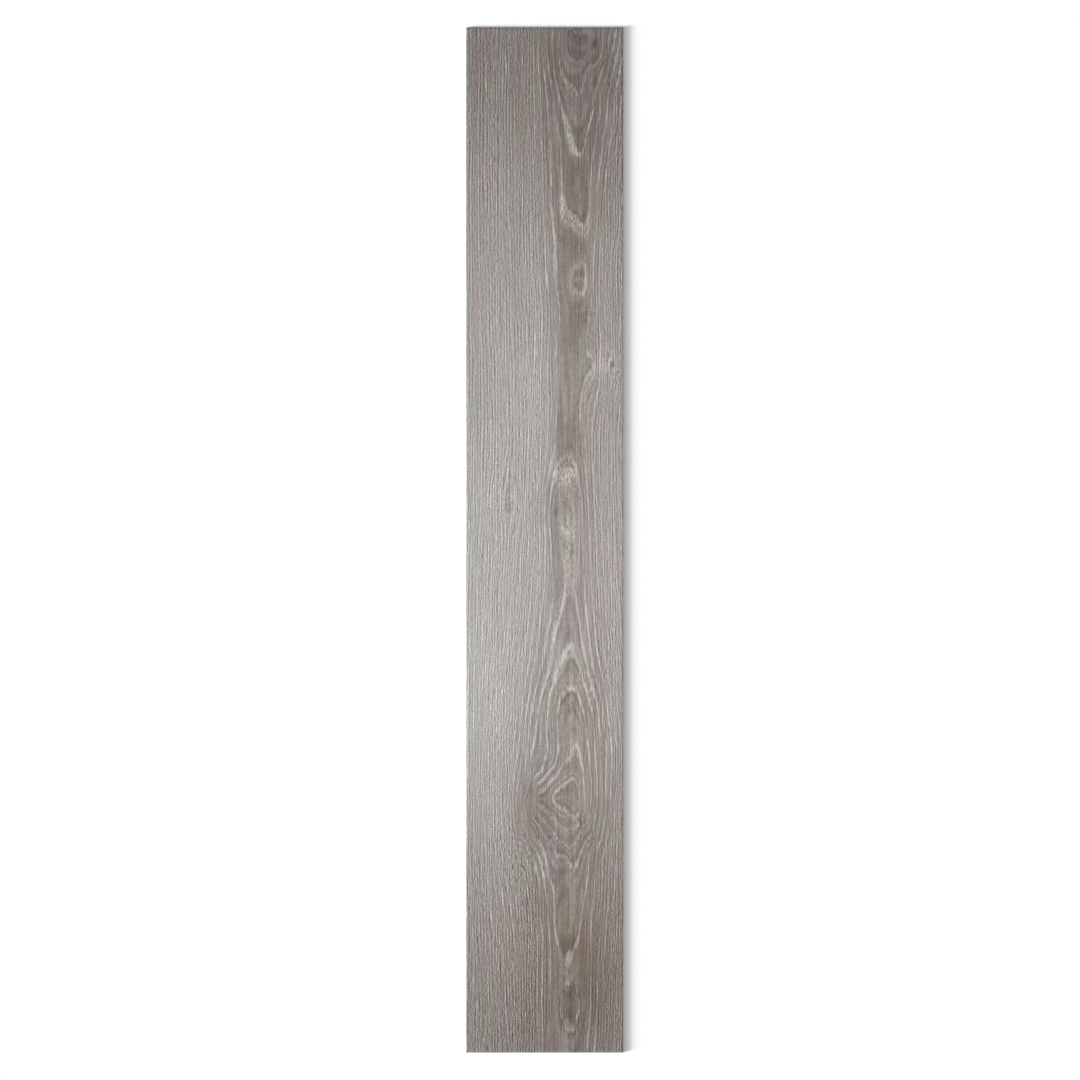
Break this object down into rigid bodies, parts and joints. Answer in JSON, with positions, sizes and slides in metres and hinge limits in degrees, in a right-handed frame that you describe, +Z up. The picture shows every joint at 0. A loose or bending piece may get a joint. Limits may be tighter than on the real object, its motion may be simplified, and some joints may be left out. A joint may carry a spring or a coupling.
{
  "type": "vinyl floor plank",
  "caption": "Long thin glue-down vinyl floor plank with a brushed, limed oak print and a narrow bevel round its upper face.",
  "frame": {"origin": "middle of the underside, on the surface that the plank lies on", "axes": "+X across the width, +Y along the length, +Z up through the printed face"},
  "size_m": [0.23, 1.5, 0.0025],
  "materials": {
    "vinyl": "matte"
  },
  "bodies": {
    "root": {"vinyl_plank": "vinyl"}
  },
  "joints": []
}
